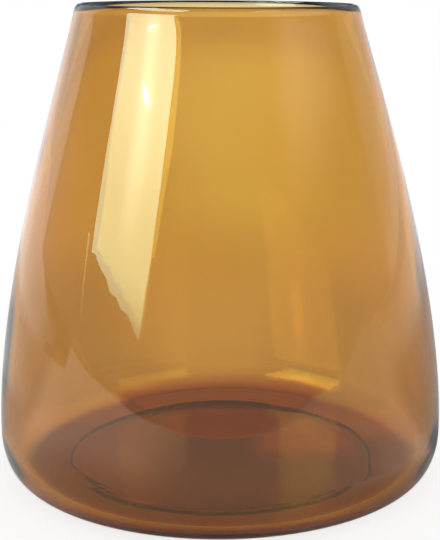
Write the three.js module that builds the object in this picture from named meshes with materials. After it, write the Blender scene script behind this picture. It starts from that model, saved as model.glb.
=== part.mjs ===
// Amber glass flower vase, blown in a mould as one piece of glass.
// A wide, rounded heel carries a wall that leans in to a narrower mouth with an oval, fire-polished lip.
// Millimetres, +Z up. The origin is the middle of the plane that the vase stands on.
import * as THREE from 'three';

// Outside of the vase
const HEIGHT = 167.2; // standing plane to the top of the lip
const BELLY_DIAMETER = 160; // across the widest point
const BELLY_HEIGHT = 17.2; // widest point above the standing plane
const BELLY_UPRIGHT_LENGTH = 54.5; // handle of the wall's curve: how far it stays upright above the belly
const MOUTH_DIAMETER = 95.9; // across the middle of the lip's glass
const MOUTH_LEAN = THREE.MathUtils.degToRad(12); // of the wall from upright, where it meets the lip
const MOUTH_STRAIGHT_LENGTH = 16; // handle of the wall's curve: how far it keeps that lean below the lip

// Thickness of the glass
const LIP_THICKNESS = 3.2; // of the wall where the lip starts
const LIP_LENGTH = 2.5; // of the lip's oval end, from there to its crest
const WALL_AT_BELLY = 3.8;
const BASE_THICKNESS = 4; // standing plane to the edge of the inside floor

// Base
const FOOT_DIAMETER = 137.2; // outer edge of the flat standing ring, where the heel starts inside and out
const RECESS_DIAMETER = 113; // inner edge of the standing ring
const RECESS_EDGE = 1.2; // radius of that edge, and depth of the recess behind it
const PUSH_UP = 2.8; // middle of the underside above the standing plane
const FLOOR_RISE = 1.5; // middle of the inside floor above its edge

// Facets
const AROUND = 64;
const DOME_STEPS = 3;
const RECESS_EDGE_STEPS = 3;
const RING_STEPS = 1;
const HEEL_STEPS = 8;
const WALL_STEPS = 13;
const LIP_STEPS = 8;
const INSIDE_HEEL_STEPS = 7;
const FLOOR_STEPS = 3;

// Points on the outline are (distance from the axis, height).
const at = (radius, height) => new THREE.Vector2(radius, height);
const QUARTER_TURN = Math.PI / 2;

// Underside: a shallow dome pushed up inside the standing ring, so that the vase can't rock.
function undersideDome() {
  const edge = at(RECESS_DIAMETER / 2 - RECESS_EDGE, RECESS_EDGE);
  return new THREE.QuadraticBezierCurve(at(0, PUSH_UP), at(edge.x / 2, PUSH_UP), edge);
}

function standingRingEdge() {
  return new THREE.EllipseCurve(
    RECESS_DIAMETER / 2, RECESS_EDGE, RECESS_EDGE, RECESS_EDGE, 2 * QUARTER_TURN, 3 * QUARTER_TURN,
  );
}

function standingRing() {
  return new THREE.LineCurve(at(RECESS_DIAMETER / 2, 0), at(FOOT_DIAMETER / 2, 0));
}

// Heel: a quarter of an ellipse from the standing ring out to the belly.
const HEEL_OUT = (BELLY_DIAMETER - FOOT_DIAMETER) / 2;

function heel() {
  return new THREE.EllipseCurve(FOOT_DIAMETER / 2, BELLY_HEIGHT, HEEL_OUT, BELLY_HEIGHT, -QUARTER_TURN, 0);
}

// Lip: half an oval along the lean of the wall, which both faces run into without a corner.
function lip() {
  const halfThickness = LIP_THICKNESS / 2;
  const rise = Math.hypot(LIP_LENGTH * Math.cos(MOUTH_LEAN), halfThickness * Math.sin(MOUTH_LEAN));
  return new THREE.EllipseCurve(
    MOUTH_DIAMETER / 2, HEIGHT - rise, halfThickness, LIP_LENGTH, 0, 2 * QUARTER_TURN, false, MOUTH_LEAN,
  );
}

// A face of the wall: upright at the belly, then drawn in to the lean that it has at the lip.
function wallFace(belly, mouth) {
  const belowMouth = at(Math.sin(MOUTH_LEAN), -Math.cos(MOUTH_LEAN)).multiplyScalar(MOUTH_STRAIGHT_LENGTH);
  return new THREE.CubicBezierCurve(
    belly, belly.clone().add(at(0, BELLY_UPRIGHT_LENGTH)), mouth.clone().add(belowMouth), mouth,
  );
}

// Inside heel and floor: they follow the outside, with the glass almost as even as in the wall.
function insideHeel() {
  const out = HEEL_OUT - WALL_AT_BELLY;
  const drop = BELLY_HEIGHT - BASE_THICKNESS;
  return new THREE.EllipseCurve(FOOT_DIAMETER / 2, BELLY_HEIGHT, out, drop, 0, -QUARTER_TURN, true);
}

function insideFloor() {
  const edge = at(FOOT_DIAMETER / 2, BASE_THICKNESS);
  const middle = at(0, BASE_THICKNESS + FLOOR_RISE);
  return new THREE.QuadraticBezierCurve(edge, at(edge.x / 2, middle.y), middle);
}

// The whole outline, from the axis under the base, up the outside, over the lip and down the inside.
function outline() {
  const outerFace = wallFace(heel().getPoint(1), lip().getPoint(0));
  const innerFace = wallFace(insideHeel().getPoint(0), lip().getPoint(1));
  const stretches = [
    undersideDome().getPoints(DOME_STEPS),
    standingRingEdge().getPoints(RECESS_EDGE_STEPS),
    standingRing().getPoints(RING_STEPS),
    heel().getPoints(HEEL_STEPS),
    outerFace.getSpacedPoints(WALL_STEPS),
    lip().getPoints(LIP_STEPS),
    innerFace.getSpacedPoints(WALL_STEPS).reverse(),
    insideHeel().getPoints(INSIDE_HEEL_STEPS),
    insideFloor().getPoints(FLOOR_STEPS),
  ];
  const sameSpot = 1e-3;
  return stretches.flat().filter((p, i, all) => i === 0 || p.distanceTo(all[i - 1]) > sameSpot);
}

const amberGlass = new THREE.MeshStandardMaterial({
  color: 0xc8923c,
  roughness: 0.04,
  metalness: 0,
  transparent: true,
  opacity: 0.6,
});

// The outline turned about the vase's own axis, and stood up along +Z.
const vaseBody = new THREE.Mesh(new THREE.LatheGeometry(outline(), AROUND), amberGlass);
vaseBody.name = 'vase_body';
vaseBody.rotation.x = QUARTER_TURN;

const vase = new THREE.Group();
vase.add(vaseBody);

export default vase;
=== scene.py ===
import math

import bpy
from mathutils import Matrix, Vector


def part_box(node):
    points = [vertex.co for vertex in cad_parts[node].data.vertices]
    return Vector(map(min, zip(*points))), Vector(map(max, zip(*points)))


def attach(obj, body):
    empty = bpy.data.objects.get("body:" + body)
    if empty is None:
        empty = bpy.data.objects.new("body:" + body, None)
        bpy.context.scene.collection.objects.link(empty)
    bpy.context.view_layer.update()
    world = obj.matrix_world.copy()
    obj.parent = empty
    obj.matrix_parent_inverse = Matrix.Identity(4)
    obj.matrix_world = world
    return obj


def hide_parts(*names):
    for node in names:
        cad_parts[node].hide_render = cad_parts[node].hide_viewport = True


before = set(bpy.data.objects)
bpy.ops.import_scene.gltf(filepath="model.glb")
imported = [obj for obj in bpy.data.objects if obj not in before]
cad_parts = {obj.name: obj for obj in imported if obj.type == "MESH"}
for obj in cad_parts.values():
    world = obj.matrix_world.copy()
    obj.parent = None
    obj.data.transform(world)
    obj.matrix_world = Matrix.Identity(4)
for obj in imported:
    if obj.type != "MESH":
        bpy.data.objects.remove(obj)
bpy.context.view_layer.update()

# Vase
# One piece of clear amber glass, blown into a turned mould, then cracked off the pipe at the mouth.
# A flame smooths the mouth to an oval lip, and the glass is about as thick in the base as in the wall.
# It stands on a flat ring, with the underside pushed up inside the ring so that it can't rock.
MM = 0.001
low_corner, high_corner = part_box("vase_body")
belly_radius = (high_corner.x - low_corner.x) / 2
vase_height = high_corner.z
belly_height = 17.2 * MM
belly_upright = 54.5 * MM
foot_radius = 68.6 * MM
recess_radius = 56.5 * MM
recess_edge = 1.2 * MM
push_up = 2.8 * MM
mouth_radius = 47.95 * MM
mouth_lean = math.radians(12)
mouth_straight = 16 * MM
lip_radius = 1.6 * MM
lip_height = 3.2 * MM
belly_wall = 3.8 * MM
base_thickness = 4 * MM
floor_rise = 1.5 * MM
ROUND = 0.5523  # handle of a curve that draws a quarter circle, as a share of its radius
heel_round = 0.62  # the same for the outside of the heel, which is a little fuller than that


def deselect_all():
    if bpy.context.object and bpy.context.object.mode != "OBJECT":
        bpy.ops.object.mode_set(mode="OBJECT")
    bpy.ops.object.select_all(action="DESELECT")


# The section is drawn as one curve, as (place, handle before, handle after), each (radius, height).
# It runs from the axis under the base, up the outside, over the lip, down the inside and back to the axis.
# Where a run is straight or nearly flat, its handles are a third of its length.
up = Vector((0, 1))
out = Vector((1, 0))
leaning_in = Vector((-math.sin(mouth_lean), math.cos(mouth_lean)))
leaning_out = Vector((math.cos(mouth_lean), math.sin(mouth_lean)))
lip_out = ROUND * lip_radius
lip_up = ROUND * lip_height

under_middle = Vector((0, push_up))
recess_corner = Vector((recess_radius - recess_edge, recess_edge))
dome_handle = (under_middle - recess_corner) / 3 + up * push_up / 4
ring_inner = Vector((recess_radius, 0))
ring_outer = Vector((foot_radius, 0))
belly = Vector((belly_radius, belly_height))
lip_rise = math.hypot(lip_height * math.cos(mouth_lean), lip_radius * math.sin(mouth_lean))
lip_middle = Vector((mouth_radius, vase_height - lip_rise))
lip_crest = lip_middle + lip_height * leaning_in
lip_outer = lip_middle + lip_radius * leaning_out
lip_inner = lip_middle - lip_radius * leaning_out
inner_belly = Vector((belly_radius - belly_wall, belly_height))
floor_edge = Vector((foot_radius, base_thickness))
floor_middle = Vector((0, base_thickness + floor_rise))
ring_width = foot_radius - recess_radius
heel_out = belly_radius - foot_radius
inner_heel_out = inner_belly.x - foot_radius
inner_heel_drop = inner_belly.y - base_thickness

section = [
    (under_middle, -out * recess_corner.x / 3, out * recess_corner.x / 3),
    (recess_corner, dome_handle, -up * ROUND * recess_edge),
    (ring_inner, -out * ROUND * recess_edge, out * ring_width / 3),
    (ring_outer, -out * ring_width / 3, out * heel_round * heel_out),
    (belly, -up * heel_round * belly_height, up * belly_upright),
    (lip_outer, -leaning_in * mouth_straight, leaning_in * lip_up),
    (lip_crest, leaning_out * lip_out, -leaning_out * lip_out),
    (lip_inner, leaning_in * lip_up, -leaning_in * mouth_straight),
    (inner_belly, up * belly_upright, -up * ROUND * inner_heel_drop),
    (floor_edge, out * ROUND * inner_heel_out, -out * foot_radius / 3),
    (floor_middle, out * foot_radius / 3, -out * foot_radius / 3),
]

steps_along = 32
deselect_all()
bpy.ops.curve.primitive_bezier_curve_add()
drawn = bpy.context.object
drawn.data.resolution_u = steps_along
spline = drawn.data.splines[0]
spline.bezier_points.add(len(section) - len(spline.bezier_points))
for point, (place, before, after) in zip(spline.bezier_points, section):
    point.handle_left_type = "FREE"
    point.handle_right_type = "FREE"
    point.co = (place.x, 0, place.y)
    point.handle_left = (place.x + before.x, 0, place.y + before.y)
    point.handle_right = (place.x + after.x, 0, place.y + after.y)
bpy.ops.object.convert(target="MESH")

# The section is spun about the axis, its poles and seam closed, and its faces turned outwards.
steps_around = 160
same_spot = 0.002 * MM
sharpest_bend = math.radians(40)
vase = bpy.context.object
vase.name = "vase"
bpy.ops.object.mode_set(mode="EDIT")
bpy.ops.mesh.select_all(action="SELECT")
bpy.ops.mesh.spin(steps=steps_around, angle=2 * math.pi, center=(0, 0, 0), axis=(0, 0, 1))
bpy.ops.mesh.select_all(action="SELECT")
bpy.ops.mesh.remove_doubles(threshold=same_spot)
bpy.ops.mesh.normals_make_consistent(inside=False)
bpy.ops.object.mode_set(mode="OBJECT")
bpy.ops.object.shade_smooth_by_angle(angle=sharpest_bend)

# Blown by hand, it isn't quite true. The inside is slightly uneven, less so towards the lip. Its ripples
# are given as waves around the vase, radians of the wave for each metre of height, and share of the depth.
uneven = 0.1 * MM
calm_length = 55 * MM
ripples = [(3, 60, 1), (7, -95, 0.6), (0, 110, 0.5), (31, 12, 0.12)]
ripples_top = vase_height - 3 * lip_height
inner_wall = [
    vertex.index for vertex in vase.data.vertices
    if vertex.normal.xy.dot(vertex.co.xy) < 0 and belly_height < vertex.co.z < ripples_top
]
for index in inner_wall:
    spot = vase.data.vertices[index].co
    turn = math.atan2(spot.y, spot.x)
    wave = sum(share * math.sin(around * turn + upright * spot.z) for around, upright, share in ripples)
    calm = min(1, (vase_height - spot.z) / calm_length) ** 2
    spot.xy *= 1 + calm * uneven * wave / spot.xy.length

# The upper half also leans a little, which leaves the rim lower on the right.
rim_tilt = 0.008
rim_shift = -0.37 * MM
for vertex in vase.data.vertices:
    upper = max(0, 2 * vertex.co.z / vase_height - 1) ** 2
    vertex.co.z -= rim_tilt * (vertex.co.x + mouth_radius) * upper
    vertex.co.x += rim_shift * upper

# The colour is in the glass itself, so that thick glass and glass seen edge on are darker.
amber_glass = bpy.data.materials.new("amber glass")
amber_glass.use_nodes = True
nodes = amber_glass.node_tree.nodes
glass = nodes["Principled BSDF"]
glass.inputs["Base Color"].default_value = (1, 1, 1, 1)
glass.inputs["Roughness"].default_value = 0
glass.inputs["IOR"].default_value = 1.51
glass.inputs["Transmission Weight"].default_value = 1
colour = nodes.new("ShaderNodeVolumeAbsorption")
colour.inputs["Color"].default_value = (0.91, 0.70, 0.03, 1)
colour.inputs["Density"].default_value = 410
amber_glass.node_tree.links.new(colour.outputs["Volume"], nodes["Material Output"].inputs["Volume"])
vase.data.materials.clear()
vase.data.materials.append(amber_glass)

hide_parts("vase_body")
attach(vase, "root")

# Table
# A white painted board that the vase stands on, with an uneven front edge between the vase and the camera.
# The camera sees it white. Through the glass it is painted dim and warm under the vase, and lighter where a
# painted glow stands in for light that the foot gathers. In the faces of the glass it is mirrored at plain
# painted levels of light and shade, brightest on the left.
table_back = 40
table_half_width = 20
table_drop = 0.05 * MM
front_edge = [
    (-table_half_width, -0.3),
    (-1.4, -0.3),
    (-0.75, -0.355),
    (-0.5, -0.4),
    (-0.22, -0.335),
    (0, -0.305),
    (0.22, -0.37),
    (0.44, -0.46),
    (1.4, -0.585),
    (table_half_width, -5.1),
]
table_corners = front_edge + [(table_half_width, table_back), (-table_half_width, table_back)]

deselect_all()
bpy.ops.mesh.primitive_circle_add(vertices=len(table_corners), fill_type="NGON")
table = bpy.context.object
table.name = "table"
for vertex, (across, back) in zip(table.data.vertices, table_corners):
    vertex.co = (across, back, -table_drop)

table_paint = bpy.data.materials.new("table paint")
table_paint.use_nodes = True
nodes = table_paint.node_tree.nodes


def plug(socket, value):
    """Gives a socket a link or a plain value."""
    if isinstance(value, bpy.types.NodeSocket):
        socket.id_data.links.new(value, socket)
    else:
        socket.default_value = value


def nodes_beside(*values):
    """The nodes of the material that the first link among these values belongs to."""
    return next(value.id_data.nodes for value in values if isinstance(value, bpy.types.NodeSocket))


def calculate(operation, first, second):
    node = nodes_beside(first, second).new("ShaderNodeMath")
    node.operation = operation
    plug(node.inputs[0], first)
    plug(node.inputs[1], second)
    return node.outputs["Value"]


def product(first, *others):
    for other in others:
        first = calculate("MULTIPLY", first, other)
    return first


def ease(value, start, end):
    """0 before the start and 1 after the end, with a smooth way between."""
    node = nodes_beside(value).new("ShaderNodeMapRange")
    node.interpolation_type = "SMOOTHSTEP"
    plug(node.inputs["Value"], value)
    plug(node.inputs["From Min"], start)
    plug(node.inputs["From Max"], end)
    return node.outputs["Result"]


def is_colour(value):
    return isinstance(value, tuple) or getattr(value, "type", "") == "RGBA"


def blend(share, first, second):
    """A mix of two levels, or of two colours."""
    node = nodes_beside(share).new("ShaderNodeMix")
    colours = any(is_colour(value) for value in (first, second))
    node.data_type = "RGBA" if colours else "FLOAT"
    kind = "Color" if colours else "Float"
    sockets = {socket.identifier: socket for socket in node.inputs}
    plug(sockets["Factor_Float"], share)
    plug(sockets["A_" + kind], first)
    plug(sockets["B_" + kind], second)
    return next(socket for socket in node.outputs if socket.identifier == "Result_" + kind)


def layered(lowest, *layers):
    """A level or colour with others laid over it in turn, each as (share, level or colour)."""
    for share, over in layers:
        lowest = blend(share, lowest, over)
    return lowest


def parts_of(vector):
    """A vector's X, Y and Z, and its length."""
    split = nodes_beside(vector).new("ShaderNodeSeparateXYZ")
    plug(split.inputs["Vector"], vector)
    measure = nodes_beside(vector).new("ShaderNodeVectorMath")
    measure.operation = "LENGTH"
    plug(measure.inputs[0], vector)
    return split.outputs["X"], split.outputs["Y"], split.outputs["Z"], measure.outputs["Value"]


# Zones of the table are given in words, each with a measure where the zone starts and one where it is full.
# Sideways and backwards are shares of the distance from the vase's axis, and the rest are metres.
# The bowl is the part of the table behind a deep curve, painted in its own shade and light where the wall's
# reflections leave the view dark.
bowl_curve = 23
bowl_edge = (0.0155, 0.0175)
well_in_bowl = (0.021, 0.031)
spot_x, spot_y, _, away = parts_of(nodes.new("ShaderNodeTexCoord").outputs["Object"])
sideways = calculate("DIVIDE", spot_x, away)
backwards = calculate("DIVIDE", spot_y, away)
measures = {
    "nearer": away,
    "farther": away,
    "left": sideways,
    "right": sideways,
    "before": backwards,
    "behind": backwards,
    "left_of": spot_x,
    "right_of": spot_x,
    "back_of": spot_y,
    "in_bowl": calculate("SUBTRACT", spot_y, product(spot_x, spot_x, bowl_curve)),
}


def zone(**edges):
    """1 where every measure is past its second edge, 0 before its first, with a smooth way between."""
    return product(*(ease(measures[word], start, full) for word, (start, full) in edges.items()))


# Painted shade and light that show straight through the glass: first the painted shadow under the vase,
# inside the standing ring, lighter on its left and at its back, with a painted light patch on its right.
shadow_under_vase = (0.35, 0.135, 0.14, 1)
shade_under_left = (0.76, 0.36, 0.34, 1)
shade_under_back = (0.86, 0.22, 0.23, 1)
light_patch_right = (0.92, 0.38, 0.26, 1)
bowl = zone(in_bowl=bowl_edge)
light_patch_zone = zone(right_of=(0.008, 0.02), left_of=(0.066, 0.044), back_of=(-0.012, 0.012))
under = layered(
    shadow_under_vase,
    (zone(left_of=(-0.01, -0.045)), shade_under_left),
    (light_patch_zone, light_patch_right),
    (bowl, shade_under_back),
)

# A painted contact shadow: the dark line where the front of the ring touches the table, drawn by its radius
# and half its width.
contact_shadow_line = (0.03, 0.03, 0.02, 1)
line_side_radius = 56.2 * MM
line_front_radius = 58.4 * MM
line_side_half = 0.6 * MM
line_front_half = 1.5 * MM
line_softness = (1.2, 0.6)
at_front = zone(before=(-0.5, -0.8))
line_radius = blend(at_front, line_side_radius, line_front_radius)
line_half = blend(at_front, line_side_half, line_front_half)
off_line = calculate("ABSOLUTE", calculate("SUBTRACT", away, line_radius), 0)
line = product(
    ease(calculate("DIVIDE", off_line, line_half), *line_softness),
    zone(before=(-0.4, -0.65)),
)

# Then the whole table, from its farthest parts to the foot of the vase, in painted light and shade: dim and
# bright levels far off, painted shadows near the vase, and painted light in front of the vase and on the
# back of its ring.
dim_paper = (0.72, 0.62, 0.60, 1)
dim_left = (0.82, 0.71, 0.62, 1)
dim_right = (0.78, 0.76, 0.60, 1)
bright_paper = (0.92, 0.90, 0.85, 1)
shadow_near_vase = (0.78, 0.68, 0.66, 1)
shadow_near_right = (0.64, 0.56, 0.57, 1)
shadow_back_left = (0.60, 0.52, 0.53, 1)
shade_far_left = (0.66, 0.55, 0.57, 1)
contact_shade = (0.56, 0.25, 0.24, 1)
light_under_ring = (0.84, 0.32, 0.34, 1)
light_before_vase = (1, 0.92, 0.88, 1)
shade_front_ring = (0.76, 0.74, 0.76, 1)
left_back_shadow_zone = zone(left=(-0.1, -0.35), behind=(0.3, 0.6), nearer=(0.5, 0.25), farther=(0.075, 0.1))
shade = layered(
    dim_paper,
    (zone(left=(-0.05, -0.3)), dim_left),
    (zone(right=(0.1, 0.28)), dim_right),
    (zone(right=(-0.2, 0.02), left=(0.3, 0.04), nearer=(3.3, 1.5)), bright_paper),
    (zone(nearer=(0.6, 0.3)), shadow_near_vase),
    (zone(right=(0.05, 0.35), nearer=(0.42, 0.22)), shadow_near_right),
    (left_back_shadow_zone, shadow_back_left),
    (zone(left=(-0.03, -0.12), farther=(2.2, 4.5)), shade_far_left),
    (zone(nearer=(0.105, 0.075), in_bowl=well_in_bowl), contact_shade),
    (zone(nearer=(0.075, 0.067), in_bowl=well_in_bowl), light_under_ring),
    (zone(before=(-0.2, -0.6), nearer=(0.3, 0.12)), light_before_vase),
    (zone(before=(-0.2, -0.6), nearer=(0.0686, 0.066)), shade_front_ring),
    (zone(nearer=(0.061, 0.053)), under),
    (line, contact_shadow_line),
)

# Painted glow on the table, seen straight through the glass, for light that the glass of the foot gathers,
# as (where, strength).
foot_glow = (0.17, 0.085, 0.14, 1)
right_foot_share = 1.3
left_foot_share = 0.9
light_patch_top_share = 0.35
past_ring = (0.0555, 0.058)
by_foot = (0.085, 0.07)
light_patch_top = product(
    light_patch_zone,
    zone(back_of=(0.002, 0.014), nearer=(0.058, 0.05)),
    calculate("SUBTRACT", 1, bowl),
)
gathered = 0
for where, strength in [
    (zone(farther=past_ring, nearer=(0.073, 0.067), in_bowl=well_in_bowl), 1),
    (zone(farther=past_ring, nearer=by_foot, right=(0.45, 0.7), back_of=(0, 0.03)), right_foot_share),
    (zone(farther=past_ring, nearer=by_foot, left=(-0.45, -0.7), back_of=(0.02, 0.045)), left_foot_share),
    (light_patch_top, light_patch_top_share),
]:
    gathered = calculate("MAXIMUM", product(where, strength), gathered)

# Painted light levels at which the glass mirrors the table: behind the vase on either side, then all round
# it.
lit_front = 0.85
lit_right = 1.05
lit_left = 1.5
lit_back_left = 0.85
lit_far_left = 0.95
lit_behind_left = 0.95
lit_back_right = 0.65
lit_far_right = 1
lit_farthest_right = 0.8
behind_left = layered(
    lit_back_left,
    (zone(farther=(1.5, 5)), lit_far_left),
    (zone(farther=(0.8, 1.4), behind=(0.6, 0.85)), lit_behind_left),
)
behind_right = layered(
    lit_back_right,
    (zone(farther=(0.38, 0.62)), lit_far_right),
    (zone(farther=(1.5, 3)), lit_farthest_right),
)

# On the left, a painted dim strip crosses the mirrored table, and the painted light ends along a slanting
# line.
left_gap = 0.6
gap_back_near = 0.11
gap_back_far = 0.03
gap_softness = 0.02
end_slant = 2.26
end_line = (-1, -1.15)
gap_back = blend(zone(farther=(0.8, 0.84)), gap_back_near, gap_back_far)
strip = product(
    zone(behind=(-0.18, -0.15), farther=(0.6, 0.66)),
    ease(backwards, calculate("ADD", gap_back, gap_softness), gap_back),
    calculate("LESS_THAN", sideways, 0),
)
past_end = ease(calculate("ADD", product(spot_y, end_slant), spot_x), *end_line)
gap = calculate("MAXIMUM", strip, product(past_end, zone(behind=(-0.02, 0.02))))

# A painted shadow of the vase darkens the mirrored table behind it and close on its right. A painted sheen
# makes the first face of the glass mirror the table's left back brighter than the other faces do.
shadow_share = 0.7
side_shadow = 0.55
lit_left_mirrored = 0.5
path = nodes.new("ShaderNodeLightPath").outputs
first_face = calculate("LESS_THAN", path["Transmission Depth"], 0.5)
shaded_side = calculate("MAXIMUM", zone(right=(-0.78, -0.55)), zone(nearer=(0.21, 0.16)))
shadow = product(zone(nearer=(0.6, 0.15), behind=(-0.2, 0.3)), shaded_side)
left_sheen = product(
    zone(left=(-0.2, -0.5), behind=(0.1, 0.3), farther=(0.5, 0.68)),
    calculate("SUBTRACT", 1, gap),
    first_face,
    lit_left_mirrored,
)
lit = layered(
    lit_front,
    (zone(right=(0.2, 0.7)), lit_right),
    (zone(left=(-0.1, -0.65), farther=(0.1, 0.2)), lit_left),
    (zone(behind=(-0.1, 0.1)), blend(zone(right=(-0.6, 0.4)), behind_left, behind_right)),
    (gap, left_gap),
)
lit = product(lit, blend(shadow, 1, shadow_share))
lit = calculate("ADD", lit, left_sheen)
lit = product(lit, blend(zone(right=(0.3, 0.8), nearer=(0.115, 0.09)), 1, side_shadow))

# To the camera, most of the table's white is a painted even glow, so that the vase's shadow on it stays
# faint.
white = (1, 1, 1, 1)
floor_glow = 0.8
floor_white = (1 - floor_glow, 1 - floor_glow, 1 - floor_glow, 1)
seen_by_camera = path["Is Camera Ray"]
in_glass = calculate("MAXIMUM", path["Is Transmission Ray"], path["Is Glossy Ray"])
straight = calculate("LESS_THAN", path["Glossy Depth"], 0.5)
through_glass = product(gathered, in_glass, straight)
paint = nodes["Principled BSDF"]
paint.inputs["Roughness"].default_value = 0.9
paint.inputs["Specular IOR Level"].default_value = 0
plug(paint.inputs["Base Color"], blend(seen_by_camera, blend(straight, lit, shade), floor_white))
plug(paint.inputs["Emission Color"], blend(seen_by_camera, foot_glow, white))
plug(
    paint.inputs["Emission Strength"],
    calculate("MAXIMUM", product(seen_by_camera, floor_glow), through_glass),
)
table.data.materials.append(table_paint)

# Windows
# Panes of daylight in front of the vase: a tall one on the left with a hedge outside, a softer one on the
# right, two above, and the slit of a door. They stand far off in the room, and show only as reflections in
# the glass, some of them in one face of it alone.
window_distance = 8
sky = (0.8, 1, 0.85, 1)
sky_rise = (0.2, 0.45)
low_share = 0.42
low_rise = (0.17, 0.05)
sun = (0.9, 0.95, 1, 1)
sun_strength = 27
streak_share = 0.15
streak_right = (0.85, 1.3)
streak_left = (1.9, 1.35)
streak_foot = (-0.2, -0.7)
spot_right = (1.02, 1.29)
spot_left = (1.62, 1.31)
spot_foot = (0.400, 0.409)
spot_top = (0.422, 0.413)
every_face = (0, 99)
outer_face = (0, 0)
inside_wall = (2, 2)
back_wall = (4, 99)


def towards(turn, slope, distance):
    """The place that far from the vase, turned right from the camera's side, and sloping up."""
    level = math.cos(slope) * distance
    return Vector((math.sin(turn) * level, -math.cos(turn) * level, math.sin(slope) * distance))


def only_mirrored(nodes, fewest_faces, most_faces):
    """1 for rays that a glass face has mirrored and nothing has scattered, past so many glass faces."""
    path = nodes.new("ShaderNodeLightPath").outputs
    return product(
        calculate("GREATER_THAN", path["Glossy Depth"], 0.5),
        calculate("LESS_THAN", path["Diffuse Depth"], 0.5),
        calculate("GREATER_THAN", path["Transmission Depth"], fewest_faces - 0.5),
        calculate("LESS_THAN", path["Transmission Depth"], most_faces + 0.5),
    )


def sunlit(x, y, z, distance):
    """Where the sun is in a pane: a small bright spot, with a faint streak above and below it."""
    across = calculate("DIVIDE", x, y)
    slope = calculate("DIVIDE", z, y)
    rise = calculate("DIVIDE", z, distance)
    streak = product(
        ease(across, *streak_right),
        ease(across, *streak_left),
        ease(slope, *streak_foot),
        streak_share,
    )
    spot = product(
        ease(across, *spot_right),
        ease(across, *spot_left),
        ease(rise, *spot_foot),
        ease(rise, *spot_top),
    )
    return calculate("MAXIMUM", streak, spot)


def add_window(name, corners, colour, strength, high_strength, faces=every_face, sunny=False):
    """A pane with its corners, from bottom left round to top left, given as turns and slopes in degrees."""
    deselect_all()
    bpy.ops.mesh.primitive_circle_add(vertices=len(corners), fill_type="NGON")
    pane = bpy.context.object
    pane.name = name
    for vertex, (turn, slope) in zip(pane.data.vertices, corners):
        vertex.co = towards(math.radians(turn), math.radians(slope), window_distance)

    daylight = bpy.data.materials.new(name + " daylight")
    daylight.use_nodes = True
    nodes = daylight.node_tree.nodes
    nodes.remove(nodes["Principled BSDF"])
    x, y, z, distance = parts_of(nodes.new("ShaderNodeTexCoord").outputs["Object"])
    rise = calculate("DIVIDE", z, window_distance)
    higher = ease(rise, *sky_rise)
    shown = blend(higher, colour, sky)
    level = blend(ease(rise, *low_rise), blend(higher, strength, high_strength), low_share * strength)
    if sunny:
        bright = sunlit(x, y, z, distance)
        shown = blend(bright, shown, sun)
        level = blend(bright, level, sun_strength)
    glow = nodes.new("ShaderNodeEmission")
    plug(glow.inputs["Color"], shown)
    plug(glow.inputs["Strength"], level)
    clear = nodes.new("ShaderNodeBsdfTransparent")
    pane_mix = nodes.new("ShaderNodeMixShader")
    plug(pane_mix.inputs[0], only_mirrored(nodes, *faces))
    plug(pane_mix.inputs[1], clear.outputs["BSDF"])
    plug(pane_mix.inputs[2], glow.outputs["Emission"])
    plug(nodes["Material Output"].inputs["Surface"], pane_mix.outputs["Shader"])
    pane.data.materials.append(daylight)
    pane.visible_diffuse = False
    pane.visible_camera = False
    pane.visible_shadow = False


def band(turns, low, high):
    """Corners of a pane that bends round the vase between two slopes."""
    return [(turn, low) for turn in turns] + [(turn, high) for turn in reversed(turns)]


# The left window ends below in the hedge's uneven top, and on the right in a bent frame, whose edge shows
# again inside the glass.
window_top = 29.5
hedge = [
    (-76, 8.6),
    (-72.5, 8.8),
    (-67.5, 8.1),
    (-64.5, 8.1),
    (-61, 6.9),
    (-57, 7),
    (-53, 6),
    (-49, 6),
    (-45, 4.6),
    (-41.8, 3.6),
]
frame_top = [(-38.2, 13), (-36.6, 18), (-34, 25), (-31.5, window_top)]
frame_foot = (-39.6, 10)
edge_foot = (-39.2, 11)
edge_lean = 0.12
inner_edge = [edge_foot] + frame_top
outer_edge = [(turn + edge_lean * slope, slope) for turn, slope in inner_edge]
top_edge = [(turn, window_top) for turn in (-45, -60, -77.4)]
left_window = hedge + [frame_foot] + frame_top + top_edge
add_window("left_window", left_window, (0.71, 1, 0.7, 1), 6.9, 9, sunny=True)
add_window("left_window_edge", outer_edge + inner_edge[::-1], (0.8, 1, 0.7, 1), 8, 8, inside_wall)
add_window("left_window_top", band(range(-79, -29, 12), window_top, 36), sky, 9, 9, back_wall)
add_window("left_upper_window", band(range(-124, -30, 15), 49, 66), (1, 0.9, 0.85, 1), 9, 9, outer_face)
add_window("right_upper_window", band((36, 72), 46, 58), (0.8, 1, 0.8, 1), 3, 3, outer_face)
door_slit = [(-78, 2.2), (-77, 2.2), (-79, 9.6), (-80, 9.6)]
add_window("door_slit", door_slit, (1, 0.9, 0.5, 1), 4.5, 4.5, outer_face)
add_window("right_window", band((20, 66), 10, 34), white, 3.5, 3.5, back_wall)

# Room
# Even white light from all round. The glass mirrors the room dim, dimmer higher up and brighter by the
# right window. A sheet of white paper stands behind the table, paler to the right and dim in its middle,
# and the outer face of the glass shows its left end brighter.
room_high = 0.3
room_low = 0.75
room_rise = (0.03, 0.32)
glow_level = 0.95
glow_way = towards(math.radians(82), math.radians(24), 1)
glow_width = (0.75, 0.98)
glow_rise = (0.24, 0.42)
paper_top = math.sin(math.radians(38))
paper_top_soft = 0.03
paper_edge_soft = 0.005
paper_left = math.radians(-118.5)
paper_lean = 0.32
paper_right = math.radians(108)
paper_middle = 0.82
paper_slope = 0.27
paper_high_middle = 0.55
paper_high_slope = 0.25
paper_rise = (0.05, 0.3)
paper_upper = 0.78
paper_upper_rise = (0.03, 0.08)
paper_left_side = 0.65
paper_left_edge = 0.3
left_side_from = (-0.2, -0.5)
left_edge_from = (-0.6, -0.9)
paper_dim = 0.3
dim_width = (0.85, 0.97)
dim_rise = (0, 0.2)

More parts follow.
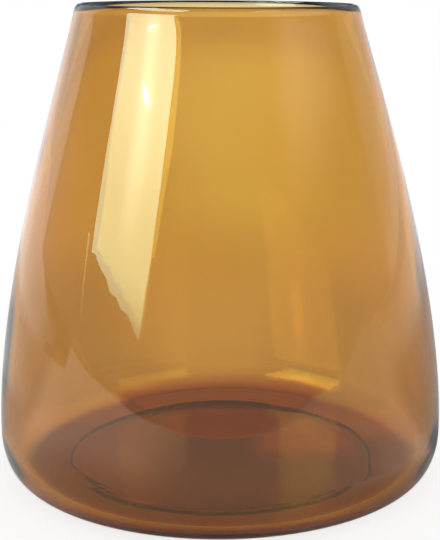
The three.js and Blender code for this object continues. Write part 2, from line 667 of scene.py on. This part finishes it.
world = bpy.data.worlds.new("room")
bpy.context.scene.world = world
world.use_nodes = True
nodes = world.node_tree.nodes
direction = nodes.new("ShaderNodeTexCoord").outputs["Generated"]


def share_along(way):
    """How far the direction points that way, from -1 to 1."""
    node = nodes_beside(direction).new("ShaderNodeVectorMath")
    node.operation = "DOT_PRODUCT"
    plug(node.inputs[0], direction)
    plug(node.inputs[1], way)
    return node.outputs["Value"]


def past_edge(turn, side, lean):
    """1 for directions past an upright or leaning edge of the paper."""
    across = share_along((side * math.cos(turn), side * math.sin(turn), lean))
    return ease(across, -paper_edge_soft, paper_edge_soft)


def sloping(value, slope, middle):
    return calculate("ADD", product(value, slope), middle)


upwards = share_along((0, 0, 1))
rightwards = share_along((1, 0, 0))
path = nodes.new("ShaderNodeLightPath").outputs
first_face = calculate("LESS_THAN", path["Transmission Depth"], 0.5)
paper = product(
    past_edge(paper_left, -1, paper_lean),
    past_edge(paper_right, 1, 0),
    ease(upwards, paper_top + paper_top_soft, paper_top - paper_top_soft),
)
low_level = sloping(rightwards, paper_slope, paper_middle)
high_level = sloping(rightwards, paper_high_slope, paper_high_middle)
paper_level = blend(ease(upwards, *paper_rise), low_level, high_level)
paper_level = product(paper_level, blend(ease(upwards, *paper_upper_rise), 1, paper_upper))
left_paper = calculate(
    "ADD",
    product(ease(rightwards, *left_side_from), paper_left_side),
    product(ease(rightwards, *left_edge_from), paper_left_edge),
)
paper_level = calculate("ADD", paper_level, product(left_paper, first_face))
dim_middle = product(ease(share_along((0, 1, 0)), *dim_width), ease(upwards, *dim_rise))
paper_level = product(paper_level, blend(dim_middle, 1, paper_dim))
right_glow = product(ease(share_along(glow_way), *glow_width), ease(upwards, *glow_rise), glow_level)
room_level = calculate("ADD", blend(ease(upwards, *room_rise), room_low, room_high), right_glow)
mirrored_room = blend(paper, room_level, paper_level)

# Rays that a face of the glass has mirrored see that room, and rays straight through the glass see paper.
mirrored = calculate("GREATER_THAN", path["Glossy Depth"], 0.5)
unscattered = calculate("LESS_THAN", path["Diffuse Depth"], 0.5)
behind_glass = product(path["Is Transmission Ray"], mirrored)
by_mirror = calculate("MAXIMUM", path["Is Glossy Ray"], behind_glass)
in_glass = calculate("MAXIMUM", path["Is Glossy Ray"], path["Is Transmission Ray"])
straight = product(in_glass, unscattered, calculate("LESS_THAN", by_mirror, 0.5))
background = nodes["Background"]
plug(background.inputs["Strength"], blend(product(by_mirror, unscattered), 1, mirrored_room))
plug(background.inputs["Color"], blend(straight, white, dim_paper))

bpy.context.scene.cycles.glossy_bounces = 12
bpy.context.scene.cycles.max_bounces = 24

# Camera
# The photograph's viewpoint: just above the lip, and close, so that the base shows as a deep oval.
PHOTO_WIDTH = 440
PHOTO_HEIGHT = 540
focal_pixels = 1301.5
camera_distance = 458.3 * MM
camera_height = 178.2 * MM
camera_pitch = math.radians(13)
camera_roll = math.radians(-0.25)
axis_pixel = 219.5
sensor = 36

lens = bpy.data.cameras.new("camera")
camera = bpy.data.objects.new("camera", lens)
bpy.context.scene.collection.objects.link(camera)
bpy.context.scene.camera = camera
lens.sensor_width = sensor
lens.lens = focal_pixels * sensor / PHOTO_HEIGHT
lens.shift_x = (PHOTO_WIDTH / 2 - axis_pixel) / PHOTO_HEIGHT
lens.clip_start = 10 * MM
camera.matrix_world = (
    Matrix.Translation((0, -camera_distance, camera_height))
    @ Matrix.Rotation(math.radians(90) - camera_pitch, 4, "X")
    @ Matrix.Rotation(camera_roll, 4, "Z")
)

bpy.context.scene.view_settings.view_transform = "Standard"
